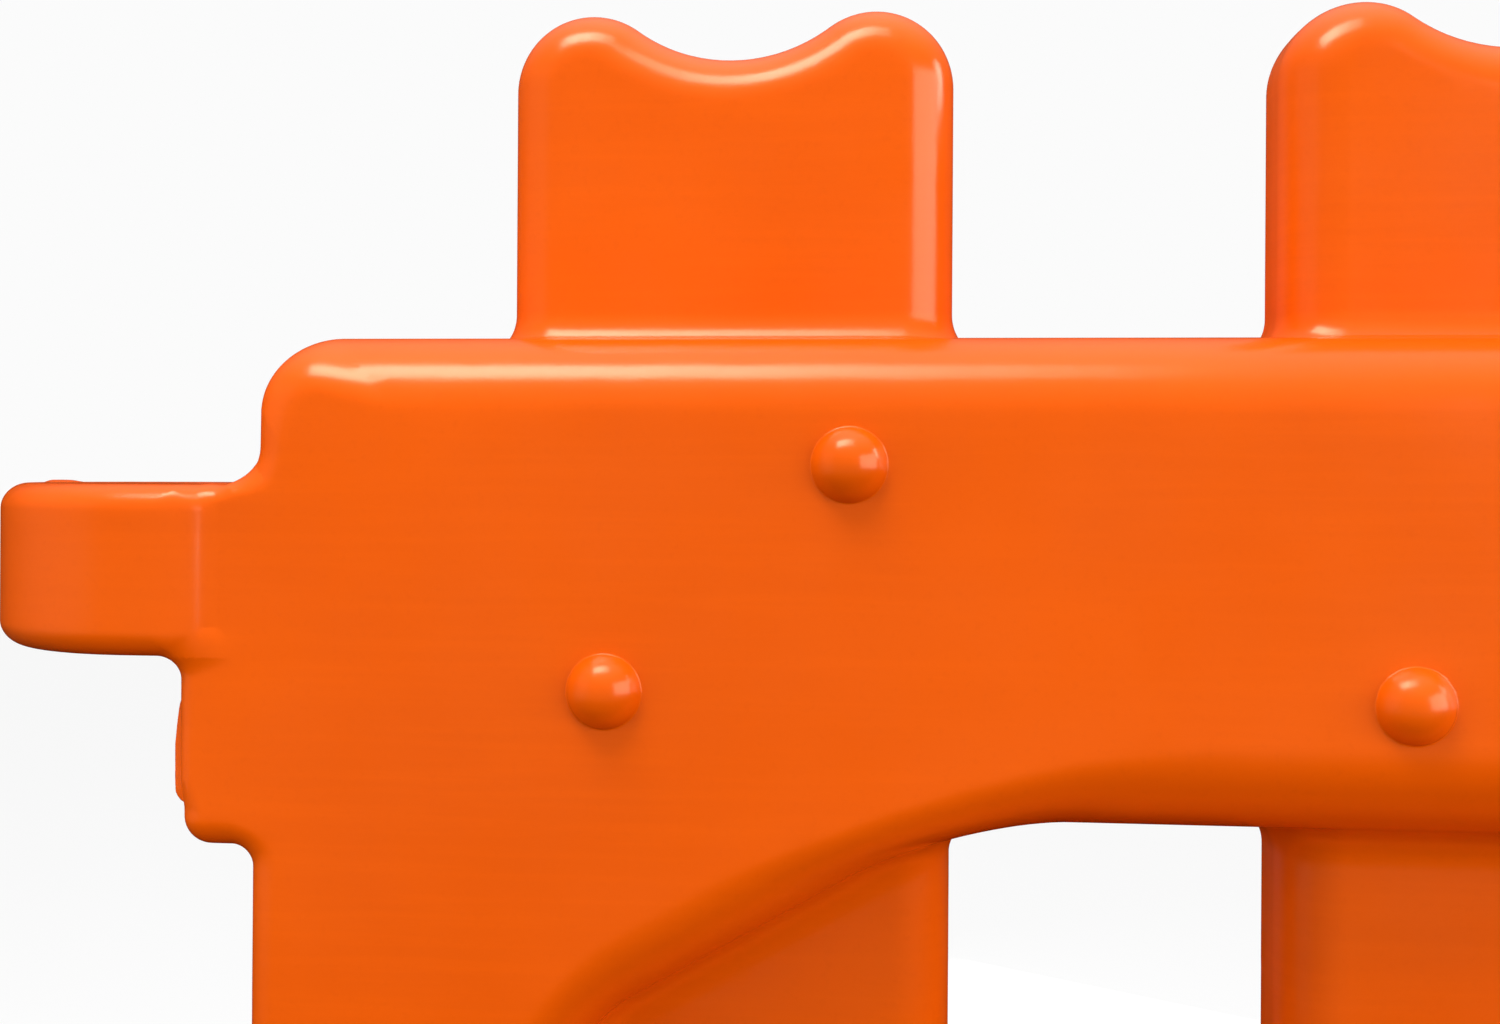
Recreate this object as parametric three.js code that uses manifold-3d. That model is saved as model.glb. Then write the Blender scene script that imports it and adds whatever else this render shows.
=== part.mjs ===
// A water filled picket barrier: one hollow moulded shell that holds the ballast water, its filler cap and
// two drain plugs with their threaded inserts and seals, a drop-in steel link rod and the rubber pads it
// stands on. Millimetres, +X along the barrier, +Y to its rear, +Z up. The origin is the centre of the
// bounding box's base.
import * as THREE from 'three';
import { mergeVertices } from 'three/addons/utils/BufferGeometryUtils.js';
import Module from 'manifold-3d';

const wasm = await Module();
wasm.setup();

// ---------------------------------------------------------------- driving dimensions
const WALL = 5;                 // moulded wall thickness
const GAP = 0.3;                // room between touching pieces
const LINK_PITCH = 2000;        // link axis to link axis, the length one barrier covers
const HEIGHT = 1006;            // ground to the picket tops
const SOLE = 4;                 // the pads hold the shell this far off the ground

// pickets
const PICKETS = 9;
const PICKET_PITCH = 211;
const PICKET_WIDTH = 123;
const PICKET_DEPTH = 40;
const PICKET_EDGE = 12;         // rounding of a picket's long edges
const HORN_RADIUS = 22;         // the two rounded corners of a picket's top
const SADDLE_DIP = 12.9;        // how far the middle of a picket's top lies below its corners
const PICKET_ROOT = 40;         // how far a picket's foot reaches down into the tank

// portal: top rail, end posts and gussets, thicker than the pickets
const RAIL_TOP = HEIGHT - 94;
const RAIL_HEIGHT = 124;
const RAIL_DEPTH = 100;
const RAIL_EDGE = 7;            // rounding along the portal's outline
const LIP = RAIL_TOP - RAIL_HEIGHT;
// the next four are measured in from the link axis
const POST_INNER = 110;
const END_UPPER = 32;           // end wall at the rail's level
const END_LOWER = 30;           // end wall at the base
const GUSSET_INNER = 215;       // where the gusset's slope meets the lip
const GUSSET_SLOPE = 0.58;
const GUSSET_BLEND = 110;       // roundings: gusset to lip, gusset to post, post to tank, rail to end wall
const POST_BLEND = 40;
const POST_FOOT = 20;
const CORNER_RADIUS = 22;

// ballast tank under the pickets
const TANK_TOP = 400;
const TANK_HALF_DEPTH = 230;
const PLINTH_TOP = 125;
const SHOULDER = 335;           // where the sloping flank meets the lower rail
const SHOULDER_HALF = 62;
const DECK_HALF = 54;           // half the depth of the tank's flat top
const TANK_EDGE = 14;           // roundings of the tank's edges, shoulders and flank, in section
const SHOULDER_EDGE = 60;
const PLINTH_EDGE = 30;
const TAPER_X = 69;             // the end corners of the plan are cut back by this much
const TAPER_Y = 140;
const TAPER_EDGE = 30;          // roundings of the plan, next to the long sides and next to the ends
const END_EDGE = 12;
const PORTAL_FOOT = SHOULDER - 60;

// link lugs: an eye on a lug at the left end, a fork of two smaller eyes at the right end, each in two sets
const SET_TOPS = [RAIL_TOP, RAIL_TOP - 380];
const EYE_RADIUS = 55;
const EYE_BELOW = 39;           // top of the set down to the top of the eye
const EYE_HEIGHT = 45;
const EYE_EDGE = 8;
const LUG_END = 13.6;           // the lug's end face, from the link axis
const LUG_BELOW = 134;          // top of the set down to the underside of the lug
const LUG_EDGE = 9;
const LUG_ROOT_UPPER = 7;       // roundings where the lug meets the end wall
const LUG_ROOT_LOWER = 6;
const SCAR_BELOW = [95, 122];   // low raised patch on the lug's end face
const SCAR_WIDTH = 84;
const SCAR_HEIGHT = 1.2;
const EAR_RADIUS = 28;
const EAR_HEIGHT = 36;
const EAR_EDGE = 5;
const EAR_NECK = 40;
const NECK_ROOT = 20;           // how far the neck reaches into the end wall
const FORK_BELOW = [EAR_HEIGHT, 138];
const FORK_FLOOR = 60;          // back of the fork's slot, from the link axis
const ROD_HOLE = 8.7;
const ROD_HOLE_DEPTH = 200;     // one set's height and more

// domes on the rail's faces
const DOME_PITCH = 200;
const DOME_RADIUS = 9.6;
const DOME_HEIGHT = 7;
const DOME_BULGE = 0.7;
const DOME_ROOT = 2;
const DOME_ROWS = [{ first: 127, below: 91 }, { first: 189, below: 33 }];

// fork-lift slots and pads
const SLOT_X = 330;
const SLOT_WIDTH = 180;
const SLOT_TOP = 92;
const SLOT_CORNER = 25;
const PAD_X = [-820, -140, 140, 820];
const PAD_Y = 165;
const PAD_RADIUS = 40;
const PAD_THICK = 12;
const PAD_EDGE = 1.5;

// filler on the rear shoulder, in line with the gap right of the middle picket
const FILLER = { x: PICKET_PITCH / 2, y: 150, top: 300, boss: 57, edge: 6 };
// drains in pockets of the rear face, near both ends
const DRAIN = { x: 800, z: 52, pocket: 40, depth: 16 };

// screw fittings: an insert moulded into the shell, a seal on its flange and a plug with a bar to turn it by
const FILLER_SCREW = {
  bore: 30, barrel: 5.7, flange: [50, 4], reach: 26,
  seal: [44, 3], head: [48, 7], shank: 18, bar: [80, 16, 14],
};
const DRAIN_SCREW = {
  bore: 18, barrel: 5.7, flange: [33, 3], reach: 18,
  seal: [27, 2.5], head: [30, 5], shank: 14, bar: [44, 9, 4],
};
const THREAD_PLAY = 0.4;
const SHANK_WALL = 4;

// link rod
const ROD_RADIUS = 8;
const ROD_BOTTOM = 338;
const HANDLE_RADIUS = 7;
const HANDLE_LENGTH = 90;
const COLLAR_RADIUS = 20;
const COLLAR_HEIGHT = 8;
const STEEL_EDGE = 2;           // chamfer on the rod, the handle and the collar
const HANDLE_Z = RAIL_TOP + 33;

const HALF = LINK_PITCH / 2;
// the left eye reaches further out than the right ears, so the bounding box's centre is off the links' middle
const CENTRE_SHIFT = (EYE_RADIUS - EAR_RADIUS) / 2;
const FAR = 400;
const CLEAR = 50;               // how far a cutting body stands out of the shell

// ---------------------------------------------------------------- solids
function solid(geometry) {
  geometry.deleteAttribute('normal');
  geometry.deleteAttribute('uv');
  const merged = mergeVertices(geometry, 1e-4);
  const corners = [...merged.index.array];
  // a lathe has triangles of no area where its profile meets the axis
  const open = (_, i) => new Set(corners.slice(i - (i % 3), i - (i % 3) + 3)).size === 3;
  return new wasm.Manifold(new wasm.Mesh({
    numProp: 3,
    vertProperties: merged.attributes.position.array,
    triVerts: new Uint32Array(corners.filter(open)),
  }));
}

function geometryOf(manifold) {
  const mesh = manifold.getMesh();
  const geometry = new THREE.BufferGeometry();
  geometry.setAttribute('position', new THREE.BufferAttribute(mesh.vertProperties, 3));
  geometry.setIndex(new THREE.BufferAttribute(mesh.triVerts, 1));
  return geometry;
}

const join = (solids) => solids.reduce((sum, one) => sum.add(one));
const cut = (from, solids) => solids.reduce((rest, one) => rest.subtract(one), from);

function box([x0, y0, z0], [x1, y1, z1]) {
  const geometry = new THREE.BoxGeometry(x1 - x0, y1 - y0, z1 - z0);
  return solid(geometry.translate((x0 + x1) / 2, (y0 + y1) / 2, (z0 + z1) / 2));
}

// A closed outline from corners [x, y, radius]; each corner with a radius is rounded.
function outline(corners, Kind = THREE.Shape) {
  const path = new Kind();
  corners.forEach(([x, y, radius = 0], i) => {
    const here = new THREE.Vector2(x, y);
    const before = new THREE.Vector2(...corners.at(i - 1)).sub(here);
    const after = new THREE.Vector2(...corners[(i + 1) % corners.length]).sub(here);
    const turn = Math.abs(before.angleTo(after));
    const reach = radius ? radius / Math.tan(turn / 2) : 0;
    const start = before.setLength(reach).add(here);
    const end = after.setLength(reach).add(here);
    if (i) path.lineTo(start.x, start.y);
    else path.moveTo(start.x, start.y);
    if (radius) path.quadraticCurveTo(x, y, end.x, end.y);
  });
  path.closePath();
  return path;
}

// A shape given edge rounding on both faces and centred on its plane. The outline keeps its size.
function slab(shape, thickness, edge, curveSegments = 3) {
  return new THREE.ExtrudeGeometry(shape, {
    depth: thickness - 2 * edge,
    bevelThickness: edge,
    bevelSize: edge,
    bevelOffset: -edge,
    bevelSegments: 2,
    bevelEnabled: edge > 0,
    curveSegments,
  }).translate(0, 0, edge - thickness / 2);
}

// Outlines drawn in X and Z, thickness along Y.
const upright = (shape, thickness, edge, segments) =>
  solid(slab(shape, thickness, edge, segments).rotateX(Math.PI / 2));

// Round pieces: a profile of [radius, height] turned about +Z.
function turned(profile, segments = 24) {
  const points = profile.map(([radius, height]) => new THREE.Vector2(radius, height));
  return solid(new THREE.LatheGeometry(points, segments).rotateX(Math.PI / 2));
}

function disc(x, y, radius, z0, z1, edge = 0, segments = 24) {
  const side = edge
    ? [[radius - edge, z0], [radius - 0.3 * edge, z0 + 0.3 * edge], [radius, z0 + edge],
      [radius, z1 - edge], [radius - 0.3 * edge, z1 - 0.3 * edge], [radius - edge, z1]]
    : [[radius, z0], [radius, z1]];
  return turned([[0, z0], ...side, [0, z1]], segments).translate([x, y, 0]);
}

// ---------------------------------------------------------------- shell
// Each function gives its solid, drawn in by "inset" all round: 0 for the outside, WALL for the cavity.
// Cuts grow by the inset instead, so that the wall keeps its thickness round them.

// A picket's top is three arcs: a horn, a saddle that runs into both horns without a kink, and a horn.
function picket(x, inset) {
  const half = PICKET_WIDTH / 2 - inset;
  const hornX = PICKET_WIDTH / 2 - HORN_RADIUS;
  const hornZ = HEIGHT - HORN_RADIUS;
  const drop = HORN_RADIUS - SADDLE_DIP;
  const saddle = (hornX ** 2 + drop ** 2 - HORN_RADIUS ** 2) / (2 * (HORN_RADIUS - drop));
  const turn = Math.atan2(saddle + drop, -hornX);
  const shape = new THREE.Shape();
  shape.moveTo(-half, TANK_TOP - PICKET_ROOT);
  shape.lineTo(half, TANK_TOP - PICKET_ROOT);
  shape.absarc(hornX, hornZ, HORN_RADIUS - inset, 0, turn, false);
  shape.absarc(0, hornZ + saddle + drop, saddle + inset, turn - Math.PI, -turn, true);
  shape.absarc(-hornX, hornZ, HORN_RADIUS - inset, Math.PI - turn, Math.PI, false);
  shape.closePath();
  const edge = inset ? 0 : PICKET_EDGE;
  return upright(shape, PICKET_DEPTH - 2 * inset, edge, inset ? 2 : 3).translate([x, 0, 0]);
}

// The right half of the portal's opening, from its foot up the post to the gusset and the lip.
function portalCorners(grow) {
  const side = HALF - POST_INNER + grow;
  const rise = GUSSET_SLOPE * (GUSSET_INNER - POST_INNER);
  return [
    [side, TANK_TOP - grow, POST_FOOT],
    [side, LIP - rise + grow, POST_BLEND],
    [HALF - GUSSET_INNER + grow / 2, LIP + grow, GUSSET_BLEND],
  ];
}

function portal(inset) {
  const upper = HALF - END_UPPER - inset;
  const lower = HALF - END_LOWER - inset;
  const lug = -(HALF - LUG_END) + inset;
  const radius = CORNER_RADIUS - inset;
  const left = SET_TOPS.toReversed().flatMap((top) => [
    [-lower, top - LUG_BELOW + inset, LUG_ROOT_LOWER],
    [lug, top - LUG_BELOW + inset, LUG_EDGE],
    [lug, top - EYE_BELOW - inset, LUG_EDGE],
    [-upper, top - EYE_BELOW - inset, LUG_ROOT_UPPER],
  ]);
  const outer = [[-lower, PORTAL_FOOT], ...left, [-upper, RAIL_TOP - inset, radius],
    [upper, RAIL_TOP - inset, radius], [lower, PORTAL_FOOT]];
  const shape = outline(outer);
  const inner = portalCorners(inset);
  const mirrored = inner.toReversed().map(([x, z, r]) => [-x, z, r]);
  shape.holes.push(outline([...inner, ...mirrored], THREE.Path));
  return upright(shape, RAIL_DEPTH - 2 * inset, inset ? 0 : RAIL_EDGE, 3);
}

function tank(inset) {
  const half = TANK_HALF_DEPTH - inset;
  const corner = TANK_EDGE - (inset ? WALL : 0);
  const profile = outline([
    [-half, SOLE + inset, corner], [half, SOLE + inset, corner],
    [half, PLINTH_TOP - inset / 2, PLINTH_EDGE],
    [SHOULDER_HALF - inset, SHOULDER - inset / 2, SHOULDER_EDGE],
    [DECK_HALF - inset, TANK_TOP - inset, TANK_EDGE],
    [-DECK_HALF + inset, TANK_TOP - inset, TANK_EDGE],
    [-SHOULDER_HALF + inset, SHOULDER - inset / 2, SHOULDER_EDGE],
    [-half, PLINTH_TOP - inset / 2, PLINTH_EDGE],
  ]);
  const plain = { bevelEnabled: false, curveSegments: 3 };
  const long = new THREE.ExtrudeGeometry(profile, { ...plain, depth: LINK_PITCH });
  long.translate(0, 0, -HALF);
  long.applyMatrix4(new THREE.Matrix4().makeBasis(
    new THREE.Vector3(0, 1, 0), new THREE.Vector3(0, 0, 1), new THREE.Vector3(1, 0, 0)));
  const end = HALF - END_LOWER - inset;
  const plan = outline([
    [-end, -TANK_HALF_DEPTH + TAPER_Y, END_EDGE], [-end + TAPER_X, -half, TAPER_EDGE],
    [end - TAPER_X, -half, TAPER_EDGE], [end, -TANK_HALF_DEPTH + TAPER_Y, END_EDGE],
    [end, TANK_HALF_DEPTH - TAPER_Y, END_EDGE], [end - TAPER_X, half, TAPER_EDGE],
    [-end + TAPER_X, half, TAPER_EDGE], [-end, TANK_HALF_DEPTH - TAPER_Y, END_EDGE],
  ]);
  const footprint = new THREE.ExtrudeGeometry(plan, { ...plain, depth: TANK_TOP + CLEAR });
  return solid(long).intersect(solid(footprint));
}

function eye(top, inset) {
  const z1 = top - EYE_BELOW - inset;
  const z0 = top - EYE_BELOW - EYE_HEIGHT + inset;
  return disc(-HALF, 0, EYE_RADIUS - inset, z0, z1, inset ? 0 : EYE_EDGE, 28);
}

const scar = (top) => box([LUG_END - HALF - SCAR_HEIGHT, -SCAR_WIDTH / 2, top - SCAR_BELOW[1]],
  [LUG_END - HALF + WALL / 2, SCAR_WIDTH / 2, top - SCAR_BELOW[0]]);

function ears(top, inset) {
  return [top, top - FORK_BELOW[1]].flatMap((z) => [
    disc(HALF, 0, EAR_RADIUS - inset, z - EAR_HEIGHT + inset, z - inset, inset ? 0 : EAR_EDGE, 20),
    box([HALF - FORK_FLOOR - NECK_ROOT, -EAR_NECK / 2 + inset, z - EAR_HEIGHT + inset],
      [HALF, EAR_NECK / 2 - inset, z - inset]),
  ]);
}

function forkSlot(top, inset) {
  return box([HALF - FORK_FLOOR - inset, -FAR, top - FORK_BELOW[1] - inset],
    [HALF + FAR, FAR, top - FORK_BELOW[0] + inset]);
}

function rodHole(x, top, inset) {
  return disc(x, 0, ROD_HOLE + inset, top - ROD_HOLE_DEPTH, top + CLEAR, 0, 16);
}

function domes(inset) {
  if (inset) return [];
  const rise = [[0, -DOME_ROOT], [DOME_RADIUS, -DOME_ROOT / 2],
    [DOME_RADIUS * DOME_BULGE, DOME_HEIGHT * DOME_BULGE], [0, DOME_HEIGHT]];
  return DOME_ROWS.flatMap(({ first, below }) => {
    const count = Math.floor((LINK_PITCH - first - END_UPPER - DOME_RADIUS) / DOME_PITCH) + 1;
    return Array.from({ length: count }, (_, i) => first - HALF + i * DOME_PITCH).flatMap((x) => [
      turned(rise, 8).rotate([90, 0, 0]).translate([x, -RAIL_DEPTH / 2, RAIL_TOP - below]),
      turned(rise, 8).rotate([-90, 0, 0]).translate([-x, RAIL_DEPTH / 2, RAIL_TOP - below]),
    ]);
  });
}

const fillerBoss = (inset) => disc(FILLER.x, FILLER.y, FILLER.boss - inset,
  PLINTH_TOP, FILLER.top - inset, inset ? 0 : FILLER.edge, 28);

function liftSlots(inset) {
  return [-SLOT_X, SLOT_X].map((x) => {
    const half = SLOT_WIDTH / 2 + inset;
    const top = SLOT_TOP + inset;
    const shape = outline([[x - half, -CLEAR], [x + half, -CLEAR],
      [x + half, top, SLOT_CORNER], [x - half, top, SLOT_CORNER]]);
    return upright(shape, 2 * FAR, 0, 3);
  });
}

const padRecesses = (inset) => PAD_X.flatMap((x) => [-PAD_Y, PAD_Y].map((y) =>
  disc(x, y, PAD_RADIUS + GAP + inset, -CLEAR, PAD_THICK + inset, 0, 18)));

function drainPockets(inset) {
  return [-DRAIN.x, DRAIN.x].map((x) =>
    disc(0, 0, DRAIN.pocket + inset, -DRAIN.depth - inset, CLEAR, 0, 24)
      .rotate([-90, 0, 0]).translate([x, TANK_HALF_DEPTH, DRAIN.z]));
}

function moulding(inset) {
  const pickets = Array.from({ length: PICKETS }, (_, i) => (i - (PICKETS - 1) / 2) * PICKET_PITCH)
    .map((x) => picket(x, inset));
  const walls = cut(join([portal(inset), tank(inset), fillerBoss(inset), ...pickets]),
    SET_TOPS.map((top) => forkSlot(top, inset)));
  const scars = inset ? [] : SET_TOPS.map(scar);
  const lugs = [...SET_TOPS.flatMap((top) => [eye(top, inset), ...ears(top, inset)]), ...scars];
  return cut(join([walls, ...lugs, ...domes(inset)]), [
    ...SET_TOPS.flatMap((top) => [rodHole(-HALF, top, inset), rodHole(HALF, top, inset)]),
    ...liftSlots(inset), ...padRecesses(inset), ...drainPockets(inset),
  ]);
}

function shell() {
  const hole = ({ bore, barrel }) => bore + barrel + GAP;
  const drains = [-DRAIN.x, DRAIN.x].map((x) => disc(0, 0, hole(DRAIN_SCREW), -CLEAR, CLEAR)
    .rotate([-90, 0, 0]).translate([x, TANK_HALF_DEPTH, DRAIN.z]));
  const filler = disc(FILLER.x, FILLER.y, hole(FILLER_SCREW), FILLER.top - CLEAR, FILLER.top + CLEAR);
  return cut(moulding(0).subtract(moulding(WALL)), [filler, ...drains]);
}

// ---------------------------------------------------------------- screw fittings
// Each is made upright, with the face that its flange rests on at height 0.

function insert({ bore, barrel, flange: [radius, thick], reach }) {
  return turned([[bore, -reach], [bore + barrel, -reach], [bore + barrel, GAP], [radius, GAP],
    [radius, thick + GAP], [bore, thick + GAP], [bore, -reach]]);
}

const sealBase = ({ flange: [, thick] }) => thick + 2 * GAP;
const headBase = (screw) => sealBase(screw) + screw.seal[1] + GAP;

function gasket(screw) {
  const inner = screw.bore + GAP;
  const [outer, thick] = screw.seal;
  const base = sealBase(screw);
  return turned([[inner, base], [outer, base], [outer, base + thick], [inner, base + thick], [inner, base]]);
}

// The plug's shank is hollow from below, up into the head.
function plug(screw) {
  const { bore, head: [radius, thick], shank, bar: [length, width, height] } = screw;
  const outer = bore - THREAD_PLAY;
  const inner = outer - SHANK_WALL;
  const base = headBase(screw);
  const top = base + thick;
  const ceiling = base + thick / 3;
  const chamfer = thick / 4;
  const body = turned([[0, ceiling], [inner, ceiling], [inner, -shank], [outer, -shank], [outer, base],
    [radius, base], [radius, top - chamfer], [radius - chamfer, top], [0, top]]);
  const bar = outline([[-length / 2, top - 1], [length / 2, top - 1],
    [length / 2, top + height, height / 2], [-length / 2, top + height, height / 2]]);
  return body.add(upright(bar, width, height / 8, 3));
}

const screwPieces = (screw, names) => [
  piece(names[0], insert(screw), nylon),
  piece(names[1], gasket(screw), rubber),
  piece(names[2], plug(screw), black),
];

// ---------------------------------------------------------------- link rod and pads
const rod = () => disc(0, 0, ROD_RADIUS, ROD_BOTTOM, HANDLE_Z - HANDLE_RADIUS - GAP, STEEL_EDGE, 16);

function collar() {
  const inner = ROD_RADIUS + GAP;
  const base = RAIL_TOP + GAP;
  const top = RAIL_TOP + COLLAR_HEIGHT;
  return turned([[inner, base], [COLLAR_RADIUS, base], [COLLAR_RADIUS, top - STEEL_EDGE],
    [COLLAR_RADIUS - STEEL_EDGE, top], [inner, top], [inner, base]]);
}

const handle = () => disc(0, 0, HANDLE_RADIUS, -HANDLE_LENGTH / 2, HANDLE_LENGTH / 2, STEEL_EDGE, 16)
  .rotate([90, 0, 0]).translate([0, 0, HANDLE_Z]);

const pad = () => disc(0, 0, PAD_RADIUS, 0, PAD_THICK - GAP, PAD_EDGE, 18);

// ---------------------------------------------------------------- the barrier
const orange = new THREE.MeshStandardMaterial({ color: 0xf26105, roughness: 0.42, metalness: 0 });
const black = new THREE.MeshStandardMaterial({ color: 0x1c1c1e, roughness: 0.5, metalness: 0 });
const nylon = new THREE.MeshStandardMaterial({ color: 0xd8d6cf, roughness: 0.5, metalness: 0 });
const rubber = new THREE.MeshStandardMaterial({ color: 0x222222, roughness: 0.85, metalness: 0 });
const zinc = new THREE.MeshStandardMaterial({ color: 0x9ea3a6, roughness: 0.45, metalness: 0.9 });

function piece(name, manifold, material) {
  const mesh = new THREE.Mesh(geometryOf(manifold), material);
  mesh.name = name;
  return mesh;
}

function place(children, x, y, z) {
  const group = new THREE.Group();
  group.add(...children);
  group.position.set(x, y, z);
  return group;
}

const barrier = new THREE.Group();
barrier.add(piece('barrier_shell', shell(), orange));

barrier.add(place(screwPieces(FILLER_SCREW, ['filler_insert', 'filler_gasket', 'filler_cap']),
  FILLER.x, FILLER.y, FILLER.top));

for (const [side, x] of [['left', -DRAIN.x], ['right', DRAIN.x]]) {
  const names = [`drain_insert_${side}`, `drain_gasket_${side}`, `drain_plug_${side}`];
  const drain = place(screwPieces(DRAIN_SCREW, names), x, TANK_HALF_DEPTH - DRAIN.depth, DRAIN.z);
  drain.rotation.x = -Math.PI / 2;
  barrier.add(drain);
}

barrier.add(place([
  piece('link_rod', rod(), zinc),
  piece('rod_collar', collar(), black),
  piece('rod_handle', handle(), zinc),
], HALF, 0, 0));

PAD_X.forEach((x, i) => [['front', -PAD_Y], ['rear', PAD_Y]].forEach(([side, y]) =>
  barrier.add(place([piece(`grip_pad_${side}_${i + 1}`, pad(), rubber)], x, y, 0))));

barrier.position.x = CENTRE_SHIFT;
const part = new THREE.Group();
part.add(barrier);

export default part;
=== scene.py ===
"""The looks of a water filled picket barrier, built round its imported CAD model.

Blender works in metres in the CAD model's frame. The shapes below are signed distances in millimetres:
the shell in its own frame, whose x = 0 is midway between the link axes, and each fitting upright on its
own axis. A fine mesh is made from each distance, and its normals are the distance's own slope, so every
rounding is smooth.
"""

import math

import bpy
import numpy as np
from mathutils import Matrix, Vector


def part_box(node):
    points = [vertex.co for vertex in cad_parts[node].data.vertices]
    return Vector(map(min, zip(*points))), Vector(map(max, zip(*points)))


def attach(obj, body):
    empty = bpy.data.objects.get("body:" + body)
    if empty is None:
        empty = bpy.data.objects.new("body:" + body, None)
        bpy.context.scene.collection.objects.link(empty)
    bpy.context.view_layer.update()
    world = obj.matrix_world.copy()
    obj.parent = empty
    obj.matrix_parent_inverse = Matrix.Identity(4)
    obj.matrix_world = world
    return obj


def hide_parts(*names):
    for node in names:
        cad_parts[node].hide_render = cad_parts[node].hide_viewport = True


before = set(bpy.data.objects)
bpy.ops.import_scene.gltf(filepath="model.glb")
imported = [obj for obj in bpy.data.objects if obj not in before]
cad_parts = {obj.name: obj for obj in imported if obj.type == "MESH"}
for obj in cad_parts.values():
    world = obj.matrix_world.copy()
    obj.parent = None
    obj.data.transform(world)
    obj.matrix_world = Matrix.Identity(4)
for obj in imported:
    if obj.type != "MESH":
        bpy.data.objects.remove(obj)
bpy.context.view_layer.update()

# ---------------------------------------------------------------- driving dimensions, in millimetres
MM = 0.001
LINK_PITCH = 2000.0
HALF = LINK_PITCH / 2
HEIGHT = 1006.0
SOLE = 4.0
# faces lean in from the parting line, at mid-depth, by these
PORTAL_DRAFT = math.tan(math.radians(0.3))
PICKET_DRAFT = math.tan(math.radians(1.2))

PICKETS = 9
PICKET_PITCH = 211.25
PICKET_HALF = 61.7
PICKET_DEPTH_HALF = 20.0
PICKET_EDGE = 15.0
HORN_RADIUS = 22.0
SADDLE_DIP = 12.9
PICKET_ROOT = 12.3

RAIL_TOP = HEIGHT - 94
RAIL_CROWN = 0.9
RAIL_DISH = 4.0  # the rail's top sinks by this between its rounded edges
DISH_RIM = 28.5  # its sinking starts at this depth and takes this width
DISH_WIDTH = 6.0
LIP = RAIL_TOP - 126.4
RAIL_HALF = 50.0
RAIL_EDGE = 21.5
END_EDGE = 10.0
LIP_EDGE = 25.0
CORNER = 19.0
END_HALF = 968.0
END_SPREAD = 2.0  # the end walls lean out by this towards the ground
END_LEAN = 1.4  # and in by this over the rail's height
POST = 890.0
POST_CORNER = 22.0
GUSSET_START = 785.0
GUSSET_SLOPE = 0.58
GUSSET_BLEND = 15.0
GUSSET_EDGE = 20.0
PORTAL_FOOT = 275.0

DECK = 400.0
DECK_HALF = 54.0
SHOULDER = 335.0
SHOULDER_HALF = 62.0
TANK_HALF = 230.0
TANK_END = 970.0
PLINTH = 125.0
TAPER = (69.0, 140.0)

SET_TOPS = (RAIL_TOP, RAIL_TOP - 380)
EYE_RADIUS = 55.0
EYE_BELOW = 39.0
EYE_HEIGHT = 45.0
LUG_OUT = 986.4
LUG_IN = 900.0
LUG_BELOW = 134.2
LUG_CORNER = 8.0
LUG_EDGE = 5.0
LUG_ROUNDER = 3.0  # more at its lower end, over the last LUG_TAIL
LUG_TAIL = 18.0
LUG_ROOT = (10.0, 5.0)  # fillets to the end wall above and below the eye's underside
EYE_EDGE = 7.2
NECK_TAPER = 16.0  # the eye's neck narrows over this length
# half width of the eye's neck, and where that turns in to the lug, by what angle
EYE_CHEEK = (54.8, 985.0, math.radians(30))
SCAR = (95.4, 122.6, 1.9)  # from and to, below the set's top, and height above the lug's end
SCAR_HALF = 46.2  # it ends this far from mid-depth
FLASH = (-1045.5, 5.6, 2.0, 0.7)  # x of its middle, half length, half width, height above the eye
EAR_RADIUS = 28.0
EAR_HEIGHT = 36.0
EAR_NECK_HALF = 20.0
FORK_BELOW = (36.0, 138.0)
FORK_FLOOR = 940.0
ROD_HOLE = 8.7

DOME_PITCH = 200.0
DOME_ROWS = ((127.0, 91.0), (189.0, 33.0))  # first from the left link axis, and below the rail's top
DOME_RADIUS = 10.1
DOME_SUNK = 3.1

SLOT_X = 330.0
SLOT_HALF = 90.0
SLOT_TOP = 92.0
PAD_RADIUS = 40.0
PAD_THICK = 11.7
SHALLOW_PANEL = (56.0, 82.0, 26.0)  # half width, half height and corner of the panels pressed in the flanks
FILLER_BOSS = 57.0
DRAIN_POCKET = (40.0, 16.0)

# bore, barrel wall, flange radius and thickness, reach, seal radius and thickness, head radius and thickness,
# shank, bar length, width and height, thread pitch
FILLER = dict(bore=30.0, barrel=5.7, flange=(50.0, 4.0), reach=26.0, seal=(44.0, 3.0), head=(48.0, 7.0),
              shank=18.0, bar=(80.0, 16.0, 14.0), pitch=8.0, ribs=36)
DRAIN = dict(bore=18.0, barrel=5.7, flange=(33.0, 3.0), reach=18.0, seal=(27.0, 2.5), head=(30.0, 5.0),
             shank=14.0, bar=(44.0, 9.0, 4.0), pitch=4.0, ribs=24)
GAP = 0.3


def centre(node):
    low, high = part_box(node)
    return (low + high) / 2


ROD_AXIS = centre("link_rod")
MIDDLE = ROD_AXIS.x - HALF * MM  # x of the point midway between the link axes
SHELL_FRAME = Matrix.Translation((MIDDLE, 0, 0)) @ Matrix.Scale(MM, 4)


def in_shell(point):
    """A point of the row frame in the shell's own frame, in millimetres."""
    return np.array(SHELL_FRAME.inverted() @ point)


# ---------------------------------------------------------------- signed distances
def union(a, b, r):
    """The nearer of two solids, with a fillet of radius r where they meet."""
    return np.maximum(r, np.minimum(a, b)) - np.hypot(np.maximum(r - a, 0), np.maximum(r - b, 0))


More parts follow.
